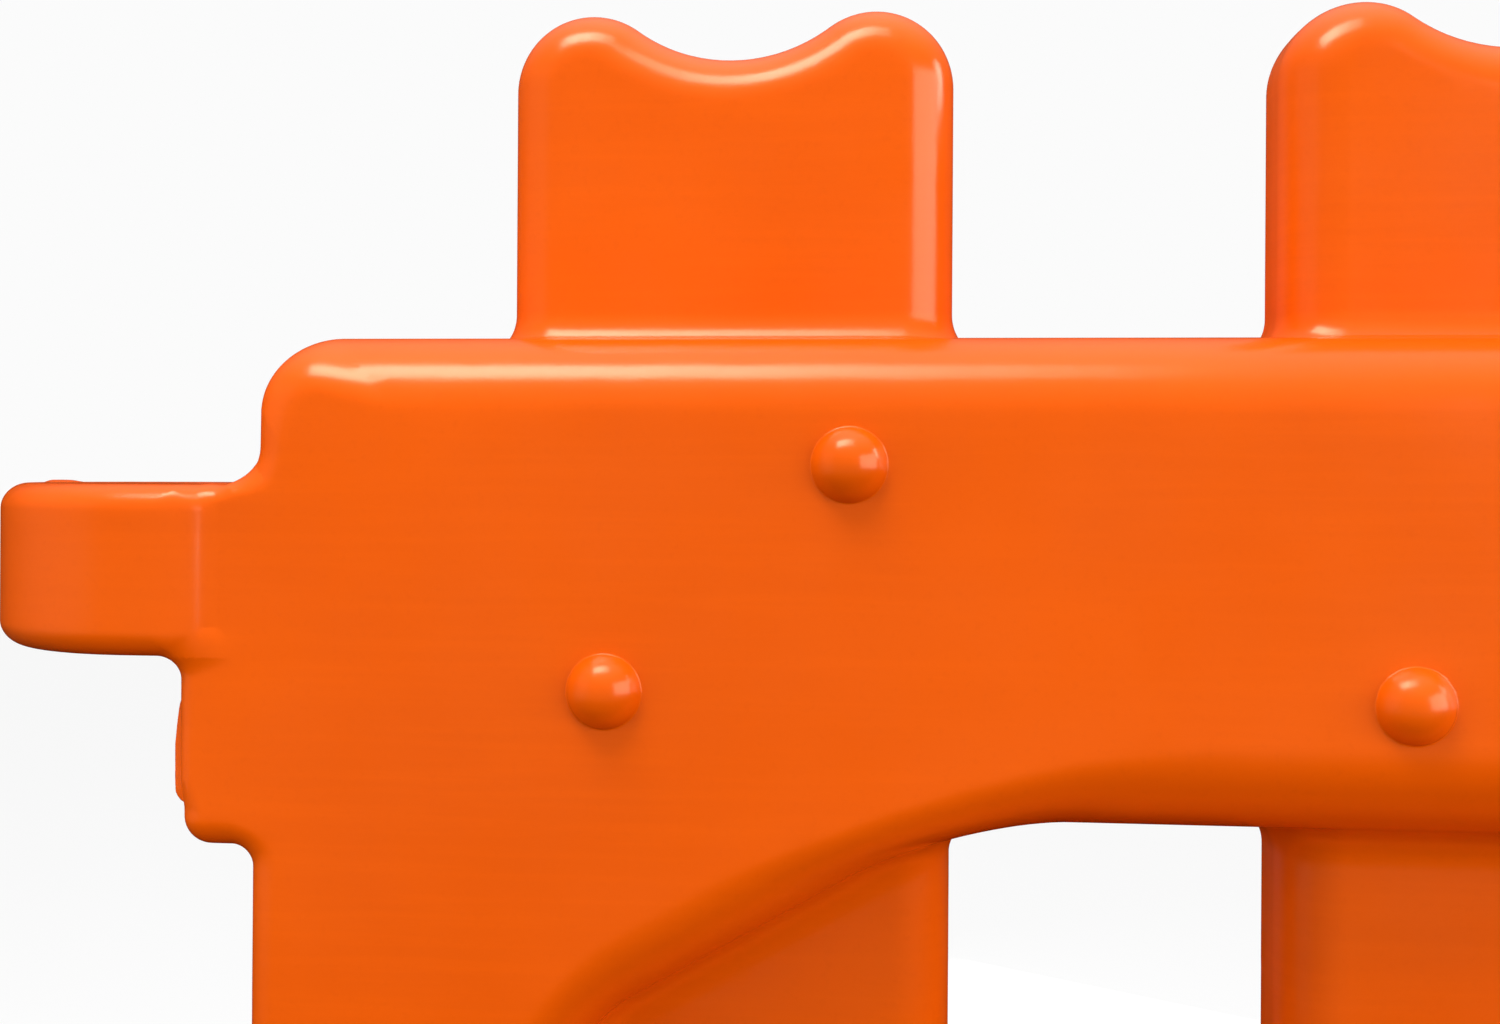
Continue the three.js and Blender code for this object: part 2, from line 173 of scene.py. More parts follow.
def overlap(a, b, r):
    """What two solids share, with an edge rounded to radius r where their faces meet."""
    return np.minimum(-r, np.maximum(a, b)) + np.hypot(np.maximum(r + a, 0), np.maximum(r + b, 0))


def carve(a, b, r):
    """Solid a without solid b, with the rim rounded to radius r."""
    return overlap(a, -b, r)


def rectangle(x, z, half_x, half_z, r):
    a, b = np.abs(x) - half_x + r, np.abs(z) - half_z + r
    return np.hypot(np.maximum(a, 0), np.maximum(b, 0)) + np.minimum(np.maximum(a, b), 0) - r


def plate(outline, across, half, edge, draft):
    """An outline given thickness, leaning in by the draft towards both faces and rounded to edge there."""
    return overlap(outline + draft * np.abs(across), np.abs(across) - half, edge)


def barrel(radial, radius, z, low, high, edge):
    """An upright cylinder from low to high."""
    return overlap(radial - radius, np.abs(z - (low + high) / 2) - (high - low) / 2, edge)


# ---------------------------------------------------------------- shell
HORN_X = PICKET_HALF - HORN_RADIUS
HORN_Z = HEIGHT - HORN_RADIUS
DROP = HORN_RADIUS - SADDLE_DIP
SADDLE = (HORN_X**2 + DROP**2 - HORN_RADIUS**2) / (2 * (HORN_RADIUS - DROP))
SADDLE_Z = HORN_Z + SADDLE + DROP


def pickets(x, y, z):
    """Upright pickets, whose tops are three arcs: a horn, a saddle that runs into both horns, and a horn."""
    last = (PICKETS - 1) // 2
    x = np.abs(x - PICKET_PITCH * np.clip(np.round(x / PICKET_PITCH), -last, last))
    horn = np.hypot(x - HORN_X, z - HORN_Z) - HORN_RADIUS
    side = x - PICKET_HALF
    saddle = np.maximum(SADDLE - np.hypot(x, z - SADDLE_Z), side)
    outer = (x - HORN_X) * (SADDLE_Z - HORN_Z) + (z - HORN_Z) * HORN_X > 0
    outline = np.where(outer, np.where(z > HORN_Z, horn, side), saddle)
    return np.maximum(plate(outline, y, PICKET_DEPTH_HALF, PICKET_EDGE, PICKET_DRAFT), DECK - 40 - z)


def portal(x, y, z):
    """Top rail, end posts and gussets, with link lugs on the left end and fork slots in the right end."""
    side, depth = np.abs(x), np.abs(y)
    end = side - END_HALF - END_SPREAD * (1 - z / RAIL_TOP)
    end = end + END_LEAN * np.clip((z - LIP) / (RAIL_TOP - LIP), 0, 1)
    sunk = np.clip((DISH_RIM - depth) / DISH_WIDTH, 0, 1)
    top = z - RAIL_TOP - RAIL_CROWN + RAIL_DISH * sunk**2 * (3 - 2 * sunk)
    outline = overlap(end, top, CORNER)
    edge = END_EDGE + (RAIL_EDGE - END_EDGE) * np.clip((top - end) / (2 * CORNER) + 0.5, 0, 1)
    for set_top in SET_TOPS:
        lug = rectangle(x + (LUG_OUT + LUG_IN) / 2, z - set_top + (LUG_BELOW + EYE_BELOW) / 2,
                        (LUG_OUT - LUG_IN) / 2, (LUG_BELOW - EYE_BELOW) / 2, LUG_CORNER)
        rounder = LUG_ROUNDER * np.clip((set_top - LUG_BELOW + LUG_TAIL - z) / 8, 0, 1)
        edge = edge + (LUG_EDGE + rounder - edge) * np.clip((end - lug) / 12 + 0.5, 0, 1)
        outline = union(outline, lug, np.where(z > set_top - EYE_BELOW - EYE_HEIGHT - 3, *LUG_ROOT))
    body = plate(outline, y, RAIL_HALF, edge, PORTAL_DRAFT)
    slope = ((side - GUSSET_START) * GUSSET_SLOPE + z - LIP) / math.hypot(1, GUSSET_SLOPE)
    opening = overlap(overlap(z - LIP, slope, GUSSET_BLEND), side - POST, POST_CORNER)
    lip_edge = LIP_EDGE + (GUSSET_EDGE - LIP_EDGE) * np.clip((side - GUSSET_START + 30) / 60, 0, 1)
    body = overlap(body, PORTAL_DRAFT * depth - opening, lip_edge)
    for set_top in SET_TOPS:
        low, high = set_top - FORK_BELOW[1], set_top - FORK_BELOW[0]
        slot = overlap(FORK_FLOOR - x, np.abs(z - (low + high) / 2) - (high - low) / 2, 5)
        body = carve(body, slot, 4)
    return np.maximum(body, PORTAL_FOOT - z)


def foot(x, y, z):
    """The ballast tank: a plinth with sloping flanks, tapered ends and a lower rail on top."""
    side, depth = np.abs(x), np.abs(y)
    rise, run = SHOULDER - PLINTH, TANK_HALF - SHOULDER_HALF
    flank = ((depth - TANK_HALF) * rise + (z - PLINTH) * run) / math.hypot(rise, run)
    profile = overlap(overlap(depth - TANK_HALF, flank, 14), SOLE - z, 14)
    taper_x, taper_y = TAPER
    taper = ((side - TANK_END) * taper_y + (depth - TANK_HALF + taper_y) * taper_x) / math.hypot(*TAPER)
    tank = overlap(np.maximum(profile, z - SHOULDER - 12), overlap(side - TANK_END, taper, 14), 20)
    # shallow pressed panels stiffen the flanks between the pickets' lines
    panel = np.clip(np.round(x / PICKET_PITCH - 0.5), -PICKETS // 2 + 1, PICKETS // 2 - 1)
    across = x - PICKET_PITCH * (panel + 0.5)
    down = (z - PLINTH) * rise / math.hypot(rise, run) - (depth - TANK_HALF) * run / math.hypot(rise, run)
    press = np.maximum(rectangle(across, down - 120, *SHALLOW_PANEL), -flank - 6)
    press = np.where((y > 0) & (panel == 0), 50.0, press)  # the filler's boss takes one panel's place
    tank = carve(tank, press, 7)
    lean = (SHOULDER_HALF - DECK_HALF) / (DECK - SHOULDER)
    rail = overlap(depth - DECK_HALF - lean * (DECK - z), z - DECK, 12)
    rail = np.maximum(overlap(rail, side - TANK_END, 10), PORTAL_FOOT - z)
    return union(tank, rail, 36)


def domes(x, y, z):
    """Small domes in two rows on the rail, mirrored on the rear face."""
    along = np.where(y > 0, -x, x) + HALF
    nearest = np.inf
    for first, below in DOME_ROWS:
        last = (LINK_PITCH - first - 50) // DOME_PITCH
        u = along - first - DOME_PITCH * np.clip(np.round((along - first) / DOME_PITCH), 0, last)
        v, w = np.abs(y) - RAIL_HALF + DOME_SUNK, z - RAIL_TOP + below
        ball = np.sqrt(u**2 + v**2 + w**2) - DOME_RADIUS
        nearest = np.minimum(nearest, ball)
    return nearest


FILLER_AT = in_shell(centre("filler_insert"))
FILLER_TOP = in_shell(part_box("filler_insert")[0])[2] + FILLER["reach"]
DRAIN_AT = in_shell(centre("drain_insert_right"))
DRAIN_FLOOR = in_shell(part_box("drain_insert_right")[0])[1] + DRAIN["reach"]
PAD_AT = [in_shell(centre(f"grip_pad_rear_{i}"))[:2] for i in (1, 2, 3, 4)]


def shell(points):
    x, y, z = points.T
    frame_part = portal(x, y, z)
    body = union(frame_part, pickets(x, y, z), PICKET_ROOT)
    body = union(body, foot(x, y, z), 6)
    # link eyes on the left, ears of the fork on the right
    left = np.hypot(x + HALF, y)
    right = np.hypot(x - HALF, y)
    neck_half, turn_in, turn = EYE_CHEEK
    narrowing = (EYE_RADIUS - neck_half) / NECK_TAPER * (x + HALF)
    neck = np.where(x > -HALF, np.abs(y) - EYE_RADIUS + narrowing, left - EYE_RADIUS)
    cheek = (x + turn_in) * math.sin(turn) + (np.abs(y) - neck_half) * math.cos(turn)
    eye_plan = overlap(neck, cheek, 3)
    for top in SET_TOPS:
        low, high = top - EYE_BELOW - EYE_HEIGHT, top - EYE_BELOW
        eye = barrel(eye_plan, 0, z, low, high, EYE_EDGE)
        # a sliver of flash where the mould's halves met on the eye, and a scar that grows down the lug's end
        middle, long, half, proud = FLASH
        eye = eye - proud * np.exp(-(((x - middle) / long) ** 4) - (y / half) ** 2) * (z > low + 20)
        body = union(body, eye, 1.2 + 5 * np.clip((low + 8 - z) / 8, 0, 1))
        start, stop, proud = SCAR
        grown = np.clip((top - start - z) / 12, 0, 1) * np.clip((z - top + stop) / 2.5, 0, 1)
        face = np.clip((-LUG_OUT + 4.5 - x) / 2, 0, 1) * np.clip((SCAR_HALF - np.abs(y)) / 0.8, 0, 1)
        body = body - proud * np.sqrt(grown) * face
        for high in (top, top - FORK_BELOW[1]):
            low = high - EAR_HEIGHT
            neck = rectangle(y, z - (low + high) / 2, EAR_NECK_HALF, EAR_HEIGHT / 2, 5)
            neck = np.maximum(neck, np.abs(x - (HALF + FORK_FLOOR) / 2) - (HALF - FORK_FLOOR) / 2)
            body = union(body, union(neck, barrel(right, EAR_RADIUS, z, low, high, 5), 4), 4)
    body = union(body, domes(x, y, z), 0.3)
    boss = barrel(np.hypot(x - FILLER_AT[0], y - FILLER_AT[1]), FILLER_BOSS, z, PLINTH, FILLER_TOP, 5)
    body = union(body, boss, 14)
    # cuts: lift slots, pad recesses, drain pockets, rod holes and the bores below the inserts
    slots = rectangle(np.abs(x) - SLOT_X, z - SLOT_TOP / 2 + 50, SLOT_HALF, SLOT_TOP / 2 + 50, 25)
    body = carve(body, slots, 8)
    pads = np.min([np.hypot(x - px, np.abs(y) - py) for px, py in PAD_AT], axis=0)
    body = carve(body, np.maximum(pads - PAD_RADIUS - GAP, z - PAD_THICK - GAP), 1.2)
    drain = np.hypot(np.abs(x) - DRAIN_AT[0], z - DRAIN_AT[2])
    pocket = overlap(drain - DRAIN_POCKET[0], DRAIN_FLOOR - y, 3)
    body = carve(body, pocket, 4)
    drain_bore = np.maximum(drain - DRAIN["bore"] - DRAIN["barrel"] - GAP, DRAIN_FLOOR - 30 - y)
    filler_bore = np.hypot(x - FILLER_AT[0], y - FILLER_AT[1]) - FILLER["bore"] - FILLER["barrel"] - GAP
    body = carve(carve(body, drain_bore, 0.5), np.maximum(filler_bore, FILLER_TOP - 40 - z), 0.5)
    return carve(body, np.minimum(left, right) - ROD_HOLE, 1.5)


# ---------------------------------------------------------------- fittings
# each stands upright, with its flange's base at 0
def polar(points):
    x, y, z = points.T
    return x, y, z, np.hypot(x, y), np.arctan2(y, x)


def thread(screw, z, angle):
    """A wave that climbs by the pitch in each turn."""
    return np.sin(2 * math.pi * z / screw["pitch"] - angle)


def head_base(screw):
    return screw["flange"][1] + 3 * GAP + screw["seal"][1]


def insert(screw):
    def field(points):
        x, y, z, radial, angle = polar(points)
        radius, thick = screw["flange"]
        body = union(barrel(radial, screw["bore"] + screw["barrel"], z, -screw["reach"], thick, 0.6),
                     barrel(radial, radius, z, GAP, thick + GAP, 1.2), 0.4)
        groove = 0.5 * thread(screw, z, angle)
        return carve(body, radial - screw["bore"] - 0.5 - groove, 0.4)
    return field


def seal(screw):
    def field(points):
        x, y, z, radial, angle = polar(points)
        radius, thick = screw["seal"]
        middle = screw["flange"][1] + 2 * GAP + thick / 2
        inner = screw["bore"] + GAP
        bead = np.abs(radial - (inner + radius) / 2) - (radius - inner) / 2
        return overlap(bead, np.abs(z - middle) - thick / 2, 1.1)
    return field


def plug(screw):
    def field(points):
        x, y, z, radial, angle = polar(points)
        radius, thick = screw["head"]
        base = head_base(screw)
        top = base + thick
        rim = np.clip((radial / radius - 0.7) / 0.3, 0, 1)
        rib = 0.018 * radius * (np.cos(screw["ribs"] * angle) - 1) * rim
        head = barrel(radial - rib, radius, z, base, top, thick / 4)
        # the top is dished between its rim and the hub that carries the bar
        dish = np.maximum(np.abs(radial - 0.6 * radius) - 0.24 * radius, top - 0.2 * thick - z)
        head = carve(head, dish, 0.6)
        length, width, height = screw["bar"]
        waist = width / 2 * (0.8 + 0.2 * (2 * x / length) ** 2)
        bar = overlap(overlap(np.abs(y) - waist + 0.06 * (z - top), z - top - height, 0.18 * width),
                      np.abs(x) - length / 2, 0.3 * width)
        bar = np.maximum(bar, base + 1 - z)
        body = union(head, bar, 0.16 * width)
        outer = screw["bore"] - 0.9 + 0.4 * thread(screw, z, angle)
        shank = barrel(radial, outer, z, -screw["shank"], base + 1, 1.2)
        body = union(body, shank, 0.3)
        hollow = np.maximum(radial - screw["bore"] + 4.4, z - base - thick / 3)
        return carve(body, hollow, 0.8)
    return field


def collar(points):
    x, y, z, radial, angle = polar(points)
    low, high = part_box("rod_collar")
    inner, outer = 8.3, (high.x - low.x) / 2 / MM
    grip = 0.35 * (np.cos(20 * angle) - 1)
    ring = barrel(radial - grip, outer, z, low.z / MM, high.z / MM, 1.6)
    return carve(ring, radial - inner, 0.7)


def rod(points):
    x, y, z, radial, angle = polar(points)
    low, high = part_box("link_rod")
    radius = (high.x - low.x) / 2 / MM
    bottom, top = low.z / MM, high.z / MM
    # a turned point at the bottom, a groove for the collar and a weld bead under the handle
    point = (radial - radius) * 0.94 + (bottom + 14 - z) * 0.34
    body = overlap(barrel(radial, radius, z, bottom, top, 0.8), point, 2)
    groove = np.hypot(radial - radius - 0.3, z - RAIL_TOP - 12) - 1.3
    lumps = 0.25 * np.sin(9 * angle) + 0.2 * np.sin(23 * angle + 1)
    bead = np.hypot(radial - radius + 0.6, z - top + 3.2) - 2.4 - lumps
    return union(carve(body, groove, 0.4), np.maximum(bead, z - top), 1.2)


def handle(points):
    x, y, z = points.T
    low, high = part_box("rod_handle")
    radius, length = (high.x - low.x) / 2 / MM, (high.y - low.y) / MM
    across = np.hypot(x, z)
    bar = overlap(across - radius, np.abs(y) - length / 2, 2.2)
    # a hand-swaged flat ring near each end stops the hand
    ring = np.hypot(across - radius + 0.2, np.abs(y) - length / 2 + 9) - 0.9
    return carve(bar, ring, 0.5)


def pad(points):
    x, y, z, radial, angle = polar(points)
    body = barrel(radial, PAD_RADIUS, z, 0, PAD_THICK, 1.5)
    rings = np.abs((radial + 2) % 8 - 4) - 1.1
    grooves = np.maximum(np.maximum(rings, z - 1.6), 5 - radial)
    body = carve(body, grooves, 0.5)
    spokes = np.maximum(np.maximum(np.abs(np.sin(4 * angle)) * radial / 4 - 1, z - 1.6), 12 - radial)
    return carve(body, spokes, 0.5)


# ---------------------------------------------------------------- meshes from distances
CORNERS = np.array([(i & 1, i >> 1 & 1, i >> 2 & 1) for i in range(8)])
STENCIL = np.array([(1, -1, -1), (-1, -1, 1), (-1, 1, -1), (1, 1, 1)], float)


def slope(field, points, step=0.02):
    """The distance's gradient, from four samples round each point."""
    values = field((points[:, None] + step * STENCIL).reshape(-1, 3)).reshape(-1, 4)
    return values @ STENCIL / (4 * step)


def settle(field, points, cell, rounds=3):
    """Moves points onto the surface."""
    for _ in range(rounds):
        g = slope(field, points)
        step = np.clip(field(points), -cell, cell) / np.maximum((g**2).sum(1), 0.2)
        points = points - step[:, None] * g
    return points


def cells_near(field, low, high, cell, levels=3):
    """The grid cells that the surface may pass through, found by halving bigger ones."""
    size = cell * 2**levels
    counts = np.ceil((high - low) / size).astype(int)
    cells = np.stack(np.meshgrid(*map(np.arange, counts), indexing="ij"), -1).reshape(-1, 3)
    for level in range(levels + 1):
        cells = cells[np.abs(field(low + (cells + 0.5) * size)) < 1.4 * size]
        if level < levels:
            cells = (2 * cells[:, None] + CORNERS).reshape(-1, 3)
            size /= 2
    return cells


def net(field, low, high, cell):
    """A closed mesh with one point in each cell that the surface passes through."""
    cells = cells_near(field, low, high, cell)
    side = int(cells.max()) + 3

    def code(c):
        return (c[..., 0] * side + c[..., 1]) * side + c[..., 2]

    found, back = np.unique(code(cells[:, None] + CORNERS), return_inverse=True)
    grid = np.stack([found // side**2, found // side % side, found % side], -1)
    values = field(low + grid * cell)[back].reshape(-1, 8)
    mixed = (values < 0).any(1) & (values >= 0).any(1)
    cells, values = cells[mixed], values[mixed]
    inside = values < 0
    total, count = np.zeros((len(cells), 3)), np.zeros(len(cells))
    for a in range(8):
        for b in (a | 1, a | 2, a | 4):
            crossing = inside[:, a] != inside[:, b]
            share = np.where(crossing, values[:, a] / np.where(crossing, values[:, a] - values[:, b], 1), 0)
            total += crossing[:, None] * (CORNERS[a] + share[:, None] * (CORNERS[b] - CORNERS[a]))
            count += crossing
    points = low + (cells + total / count[:, None]) * cell
    keys = code(cells)
    order = np.argsort(keys)
    quads = []
    for axis in range(3):
        hit = np.nonzero(inside[:, 0] != inside[:, 1 << axis])[0]
        u, v = np.eye(3, dtype=int)[(axis + 1) % 3], np.eye(3, dtype=int)[(axis + 2) % 3]
        ring = [cells[hit] - shift for shift in (0 * u, u, u + v, v)]
        quad = np.stack([order[np.searchsorted(keys[order], code(c))] for c in ring], -1)
        outward = inside[hit, 0]
        quads.append(np.where(outward[:, None], quad, quad[:, ::-1]))
    quads = np.concatenate(quads)
    points = settle(field, points, cell)
    p = points[quads]
    short = ((p[:, 0] - p[:, 2]) ** 2).sum(1) < ((p[:, 1] - p[:, 3]) ** 2).sum(1)
    first = np.where(short[:, None], quads[:, [0, 1, 2]], quads[:, [0, 1, 3]])
    second = np.where(short[:, None], quads[:, [0, 2, 3]], quads[:, [1, 2, 3]])
    return points, np.concatenate([first, second])


def mesh_of(name, points, faces):
    mesh = bpy.data.meshes.new(name)
    mesh.vertices.add(len(points))
    mesh.vertices.foreach_set("co", points.astype(np.float32).ravel())
    mesh.loops.add(faces.size)
    mesh.loops.foreach_set("vertex_index", faces.astype(np.int32).ravel())
    mesh.polygons.add(len(faces))
    mesh.polygons.foreach_set("loop_start", np.arange(0, faces.size, 3, dtype=np.int32))
    mesh.update(calc_edges=True)
    return mesh


def thinned(points, faces, ratio):
    """The same surface with fewer triangles where it is flat."""
    carrier = bpy.data.objects.new("thinning", mesh_of("thinning", points, faces))
    bpy.context.scene.collection.objects.link(carrier)
    carrier.modifiers.new("fewer", "DECIMATE").ratio = ratio
    mesh = carrier.evaluated_get(bpy.context.evaluated_depsgraph_get()).to_mesh()
    mesh.calc_loop_triangles()
    points = np.empty(len(mesh.vertices) * 3, np.float32)
    mesh.vertices.foreach_get("co", points)
    faces = np.empty(len(mesh.loop_triangles) * 3, np.int32)
    mesh.loop_triangles.foreach_get("vertices", faces)
    bpy.data.objects.remove(carrier)
    return points.reshape(-1, 3).astype(float), faces.reshape(-1, 3).astype(np.int64)


def refined(field, points, faces, tolerance, cell, close_up):
    """Splits each edge whose middle lies off the surface, until the mesh follows it to the tolerance."""
    for _ in range(5):
        n = len(points)
        pairs = np.sort(faces[:, [[0, 1], [1, 2], [2, 0]]].reshape(-1, 2), axis=1)
        edges, back = np.unique(pairs[:, 0] * n + pairs[:, 1], return_inverse=True)
        middle = (points[edges // n] + points[edges % n]) / 2
        allowed = np.where(close_up(middle), tolerance / 4, tolerance)
        split = np.abs(field(middle)) > allowed
        # where the view is close, an edge whose normals do not blend into its middle's is split as well
        ends = points[edges // n], points[edges % n]
        near = close_up(middle) & ~split & (((ends[0] - ends[1]) ** 2).sum(1) > 1)
        if near.any():
            facing = [slope(field, p[near]) for p in (*ends, middle)]
            a, b, m = (g / np.linalg.norm(g, axis=1)[:, None] for g in facing)
            blend = (a + b) / np.maximum(np.linalg.norm(a + b, axis=1), 1e-6)[:, None]
            split[near] = ((blend - m) ** 2).sum(1) > 0.01
        if not split.any():
            break
        number = np.where(split, n - 1 + np.cumsum(split), -1)
        points = np.concatenate([points, settle(field, middle[split], cell)])
        halves = number[back].reshape(-1, 3)
        cut = (halves >= 0).sum(1)
        turn = np.where(cut == 1, np.argmax(halves, 1), (np.argmin(halves, 1) + 1) % 3)
        roll = (np.arange(3) + turn[:, None]) % 3
        v, m = np.take_along_axis(faces, roll, 1), np.take_along_axis(halves, roll, 1)
        v0, v1, v2 = v.T
        m0, m1, m2 = m.T
        p = points
        short = ((p[v0] - p[m1]) ** 2).sum(1) < ((p[m0] - p[v2]) ** 2).sum(1)
        one, three = cut == 1, cut == 3
        near, far = (cut == 2) & short, (cut == 2) & ~short
        parts = [(cut == 0, v0, v1, v2), (one, v0, m0, v2), (one, m0, v1, v2),
                 (cut >= 2, m0, v1, m1), (near, v0, m0, m1), (near, v0, m1, v2),
                 (far, v0, m0, v2), (far, m0, m1, v2),
                 (three, v0, m0, m2), (three, m2, m1, v2), (three, m0, m1, m2)]
        faces = np.concatenate([np.stack([a[pick], b[pick], c[pick]], -1) for pick, a, b, c in parts])
    return points, faces


def surface(field, low, high, cell, ratio, tolerance, close_up=lambda p: np.zeros(len(p), bool)):
    """Points, triangles and normals of the surface where the distance is 0, between two corners."""
    margin = 2.5 * cell
    low, high = np.array(low, float) - margin, np.array(high, float) + margin
    points, faces = net(field, low, high, cell)
    points, faces = thinned(points, faces, ratio)
    points = settle(field, points, cell, 1)
    points, faces = refined(field, points, faces, tolerance, cell, close_up)
    normals = slope(field, points)
    return points, faces, normals / np.linalg.norm(normals, axis=1)[:, None]


def piece(name, made, place, body, node, material):
    """A mesh placed in the CAD model's frame, which rides on a body and stands for a CAD node."""
    points, faces, normals = made
    matrix = np.array(place)
    turn = matrix[:3, :3]
    mesh = mesh_of(name, points @ turn.T + matrix[:3, 3], faces)
    mesh.polygons.foreach_set("use_smooth", np.ones(len(faces), bool))
    turned = normals @ turn.T
    mesh.normals_split_custom_set_from_vertices(turned / np.linalg.norm(turned, axis=1)[:, None])
    mesh.materials.append(material)
    thing = bpy.data.objects.new(name, mesh)
    bpy.context.scene.collection.objects.link(thing)
    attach(thing, body)
    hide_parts(node)
    return thing


# ---------------------------------------------------------------- materials
class Nodes:
    """A material whose nodes are added one line each."""

    def __init__(self, name):
        self.material = bpy.data.materials.new(name)
        self.material.use_nodes = True
        self.tree = self.material.node_tree
        self.shader = self.tree.nodes["Principled BSDF"] if "Principled BSDF" in self.tree.nodes else None
        self.place = self.add("ShaderNodeTexCoord").outputs["Object"]

    def add(self, kind, inputs=None, **settings):
        node = self.tree.nodes.new(kind)
        for key, value in settings.items():
            setattr(node, key, value)
        for key, value in (inputs or {}).items():
            if isinstance(value, bpy.types.NodeSocket):
                self.tree.links.new(value, node.inputs[key])
            else:
                node.inputs[key].default_value = value
        return node

    def scaled(self, scale):
        return self.add("ShaderNodeMapping", {"Vector": self.place, "Scale": scale}).outputs[0]

    def noise(self, scale, vector=None, detail=3.0, roughness=0.55):
        inputs = {"Vector": vector or self.place, "Scale": scale, "Detail": detail, "Roughness": roughness}
        return self.add("ShaderNodeTexNoise", inputs).outputs[0]

    def range(self, value, low, high, to_low=0.0, to_high=1.0):
        inputs = {"Value": value, "From Min": low, "From Max": high, "To Min": to_low, "To Max": to_high}
        return self.add("ShaderNodeMapRange", inputs).outputs[0]

    def mix(self, share, a, b):
        inputs = {"Factor": share, "A": a, "B": b}
        node = self.tree.nodes.new("ShaderNodeMix")
        node.data_type = "RGBA"
        for socket in node.inputs:
            if socket.enabled and socket.name in inputs:
                value = inputs[socket.name]
                if isinstance(value, bpy.types.NodeSocket):
                    self.tree.links.new(value, socket)
                else:
                    socket.default_value = value
        return next(s for s in node.outputs if s.enabled)

    def bump(self, height, strength, distance, normal=None):
        inputs = {"Height": height, "Strength": strength, "Distance": distance}
        if normal is not None:
            inputs["Normal"] = normal
        return self.add("ShaderNodeBump", inputs).outputs[0]

    def finish(self, inputs):
        for key, value in inputs.items():
            if isinstance(value, bpy.types.NodeSocket):
                self.tree.links.new(value, self.shader.inputs[key])
            else:
                self.shader.inputs[key].default_value = value
        return self.material


def colour(r, g, b):
    return (r, g, b, 1.0)


def orange_polyethylene():
    """Moulded orange polyethylene: faint mottling and streaks in the colour, and a fine orange peel."""
    n = Nodes("orange_polyethylene")
    mottle = n.range(n.noise(9.0), 0.35, 0.65)
    base = n.mix(mottle, colour(0.70, 0.086, 0.0005), colour(0.75, 0.095, 0.0006))
    streaks = n.noise(14.0, n.scaled((1.0, 1.0, 22.0)), 4.0)
    base = n.mix(n.range(streaks, 0.45, 0.75, 0.0, 0.35), base, colour(0.78, 0.102, 0.0007))
    speckle = n.noise(420.0, None, 2.0)
    base = n.mix(n.range(speckle, 0.55, 0.8, 0.0, 0.25), base, colour(0.65, 0.077, 0.0004))
    peel = n.noise(260.0, None, 2.0)
    waves = n.noise(22.0, None, 2.0)
    normal = n.bump(waves, 0.25, 0.002, n.bump(peel, 0.10, 0.0004))
    rough = n.range(n.noise(30.0), 0.3, 0.7, 0.19, 0.24)
    return n.finish({
        "Base Color": base, "Roughness": rough, "Normal": normal, "Specular IOR Level": 0.45,
        "Specular Tint": colour(1.0, 0.86, 0.6),
    })


def plain_plastic(name, dark, light, rough, peel=300.0):
    """Moulded plastic or rubber: two close shades, a fine surface and uneven gloss."""
    n = Nodes(name)
    base = n.mix(n.range(n.noise(40.0), 0.35, 0.7), colour(*dark), colour(*light))
    normal = n.bump(n.noise(peel * 4, None, 2.0), 0.15, 0.0003)
    return n.finish({
        "Base Color": base, "Roughness": n.range(n.noise(90.0), 0.3, 0.7, rough - 0.06, rough + 0.06),
        "Normal": normal,
    })


def zinc_plated_steel():
    n = Nodes("zinc_plated_steel")
    base = n.mix(n.range(n.noise(60.0), 0.3, 0.7), colour(0.50, 0.51, 0.50), colour(0.62, 0.61, 0.56))
    drawn = n.noise(300.0, n.scaled((1.0, 1.0, 0.06)), 3.0)
    return n.finish({
        "Base Color": base, "Metallic": 1.0, "Roughness": n.range(drawn, 0.3, 0.7, 0.26, 0.42),
        "Normal": n.bump(drawn, 0.12, 0.0002),
    })


ORANGE = orange_polyethylene()
BLACK = plain_plastic("black_plastic", (0.010, 0.010, 0.011), (0.018, 0.018, 0.019), 0.42)
RUBBER = plain_plastic("black_rubber", (0.012, 0.012, 0.012), (0.022, 0.021, 0.020), 0.78, 200.0)
NYLON = plain_plastic("natural_nylon", (0.50, 0.48, 0.42), (0.60, 0.58, 0.52), 0.45)
STEEL = zinc_plated_steel()

# ---------------------------------------------------------------- the pieces
shell_low, shell_high = (in_shell(corner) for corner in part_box("barrier_shell"))
cell, tolerance = ((6.0, 0.1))


def near_link_eye(points):
    """The rail's left end, which is looked at from close by."""
    return (points[:, 0] < -600) & (points[:, 2] > 740)


made = surface(shell, shell_low, shell_high, cell, 0.35, tolerance, near_link_eye)
piece("moulded_shell", made, SHELL_FRAME, "shell", "barrier_shell", ORANGE)


def fit(name, node, field, place, body, material, cell, ratio=0.5):
    """A fitting's mesh, made within its CAD node's own box."""
    low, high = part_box(node)
    to_field = place.inverted()
    ends = np.array([to_field @ Vector(p) for p in ((low.x, low.y, low.z), (high.x, high.y, high.z))])
    made = surface(field, ends.min(0), ends.max(0), cell, ratio, 0.03)
    return piece(name, made, place, body, node, material)


def placed(x, y, z, turn=None):
    return Matrix.Translation((x, y, z)) @ (turn or Matrix.Identity(4)) @ Matrix.Scale(MM, 4)


cap_place = placed(centre("filler_insert").x, centre("filler_insert").y, FILLER_TOP * MM)
fit("filler_thread_insert", "filler_insert", insert(FILLER), cap_place, "shell", NYLON, 1.2)
fit("filler_seal_ring", "filler_gasket", seal(FILLER), cap_place, "filler_seal", RUBBER, 1.2)
fit("filler_screw_cap", "filler_cap", plug(FILLER), cap_place, "filler_cap", BLACK, 1.2)

